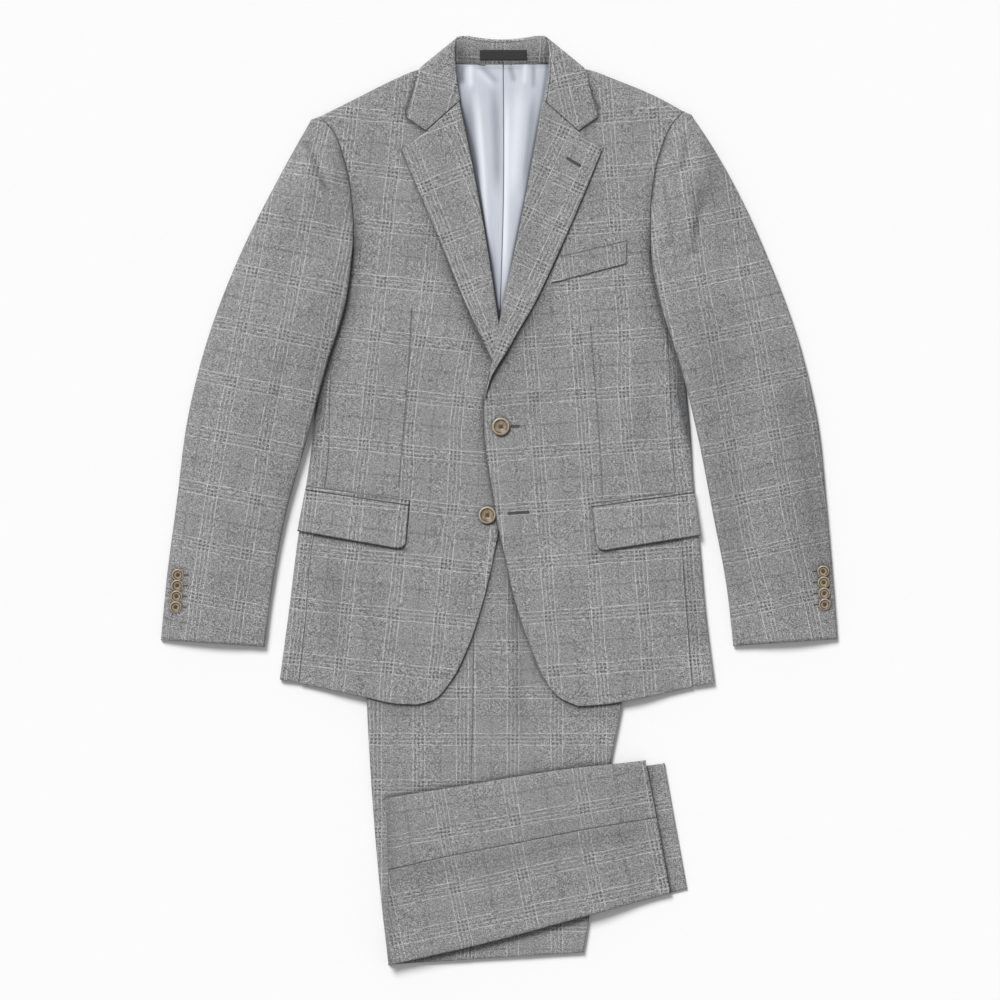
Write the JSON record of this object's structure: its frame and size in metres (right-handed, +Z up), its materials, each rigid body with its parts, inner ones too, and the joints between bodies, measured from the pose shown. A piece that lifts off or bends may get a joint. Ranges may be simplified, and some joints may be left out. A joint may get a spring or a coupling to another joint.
{
  "type": "two-piece suit",
  "caption": "Men's suit laid flat: a buttoned check jacket, face up with its sleeves at its sides, over trousers folded lengthwise, whose legs are turned up below the hem.",
  "frame": {"origin": "middle of the bounding box in X and Y, at the floor that the suit lies on", "axes": "+Y from the hem towards the collar, +Z up from the floor, +X towards the wearer's left"},
  "size_m": [0.7775, 1.0666, 0.0194],
  "materials": {
    "suit_cloth": "mid-grey worsted with a fine fleck and a woven check",
    "lining": "pale silver-blue satin",
    "horn": "mottled tan horn, polished",
    "label": "charcoal woven tape, bare"
  },
  "bodies": {
    "root": {"back_left": "suit_cloth", "back_right": "suit_cloth", "lining_left": "lining", "lining_right": "lining", "side_left": "suit_cloth", "side_right": "suit_cloth", "front_left": "suit_cloth", "front_right": "suit_cloth", "lapel_left": "suit_cloth", "lapel_right": "suit_cloth", "sleeve_left_top": "suit_cloth", "sleeve_left_under": "suit_cloth", "sleeve_right_top": "suit_cloth", "sleeve_right_under": "suit_cloth", "jet_left": "suit_cloth", "jet_right": "suit_cloth", "flap_left": "suit_cloth", "flap_right": "suit_cloth", "collar": "suit_cloth", "collar_stand": "suit_cloth", "label": "label", "breast_welt": "suit_cloth", "button_front_top": "horn", "button_front_bottom": "horn", "cuff_button_left_1": "horn", "cuff_button_left_2": "horn", "cuff_button_left_3": "horn", "cuff_button_left_4": "horn", "cuff_button_right_1": "horn", "cuff_button_right_2": "horn", "cuff_button_right_3": "horn", "cuff_button_right_4": "horn", "trousers_layers": "suit_cloth", "trousers_front": "suit_cloth", "trousers_back": "suit_cloth", "waistband": "suit_cloth", "second_leg": "suit_cloth", "folded_leg_front": "suit_cloth", "folded_leg_back": "suit_cloth", "folded_leg_layers": "suit_cloth"}
  },
  "joints": []
}
